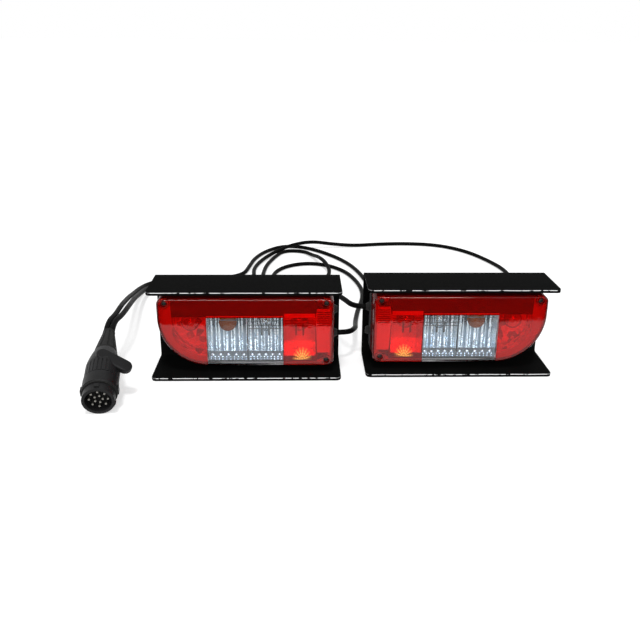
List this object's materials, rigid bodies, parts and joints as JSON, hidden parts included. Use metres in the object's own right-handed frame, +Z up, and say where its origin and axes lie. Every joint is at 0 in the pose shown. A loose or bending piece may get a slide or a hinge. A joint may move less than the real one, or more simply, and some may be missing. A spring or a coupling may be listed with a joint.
{
  "type": "trailer rear lamp set with wiring",
  "caption": "Pair of rear lamps in folded channel brackets, with bulbs, studs, two cables and a round trailer plug, for lighting the back of a trailer or carrier.",
  "frame": {"origin": "floor level, midway between the lamps and between the foremost flange and the rearmost stud", "axes": "+X to the right seen from the lens side, +Y away from the viewer, +Z up"},
  "size_m": [0.7122, 0.8259, 0.127],
  "materials": {
    "bracket_black": "satin black powder coat",
    "base_black": "moulded",
    "rubber_black": "matte",
    "reflector_bright": "metallised plastic",
    "lens_red": "transparent red acrylic",
    "lens_clear": "colourless acrylic",
    "steel": "zinc plated",
    "bulb_amber": "amber glass",
    "bulb_clear": "clear glass",
    "terminal_white": "moulded",
    "plug_black": "moulded",
    "contact_brass": "turned",
    "cord_black": "satin sheath"
  },
  "bodies": {
    "lamps_and_plug": {"cord_left": "cord_black", "cord_right": "cord_black", "left_base_screws": "steel", "left_bracket": "bracket_black", "left_bulb_fog": "bulb_clear", "left_bulb_holders": "base_black", "left_bulb_indicator": "bulb_amber", "left_bulb_reversing": "bulb_clear", "left_bulb_tail_brake": "bulb_clear", "left_cable_grommets": "rubber_black", "left_clear_lens": "lens_clear", "left_lamp_base": "base_black", "left_lens_gasket": "rubber_black", "left_lens_screws": "steel", "left_mounting_studs": "steel", "left_red_lens": "lens_red", "left_reflector": "reflector_bright", "left_terminal_block": "terminal_white", "plug_boot": "rubber_black", "plug_collar": "plug_black", "plug_housing": "plug_black", "plug_seal": "rubber_black", "plug_sleeve": "plug_black", "right_base_screws": "steel", "right_bracket": "bracket_black", "right_bulb_fog": "bulb_clear", "right_bulb_holders": "base_black", "right_bulb_indicator": "bulb_amber", "right_bulb_reversing": "bulb_clear", "right_bulb_tail_brake": "bulb_clear", "right_cable_grommets": "rubber_black", "right_clear_lens": "lens_clear", "right_lamp_base": "base_black", "right_lens_gasket": "rubber_black", "right_lens_screws": "steel", "right_mounting_studs": "steel", "right_red_lens": "lens_red", "right_reflector": "reflector_bright", "right_terminal_block": "terminal_white"},
    "plug_contacts": {"plug_insert": "plug_black", "plug_pins": "contact_brass"}
  },
  "joints": [
    {"name": "plug_twist", "type": "hinge", "parent": "lamps_and_plug", "child": "plug_contacts", "pos_m": [-0.32435, -0.14264, 0.02394], "axis": [-0.1093, 0.9597, 0.2588], "range_deg": [0, 90]}
  ]
}
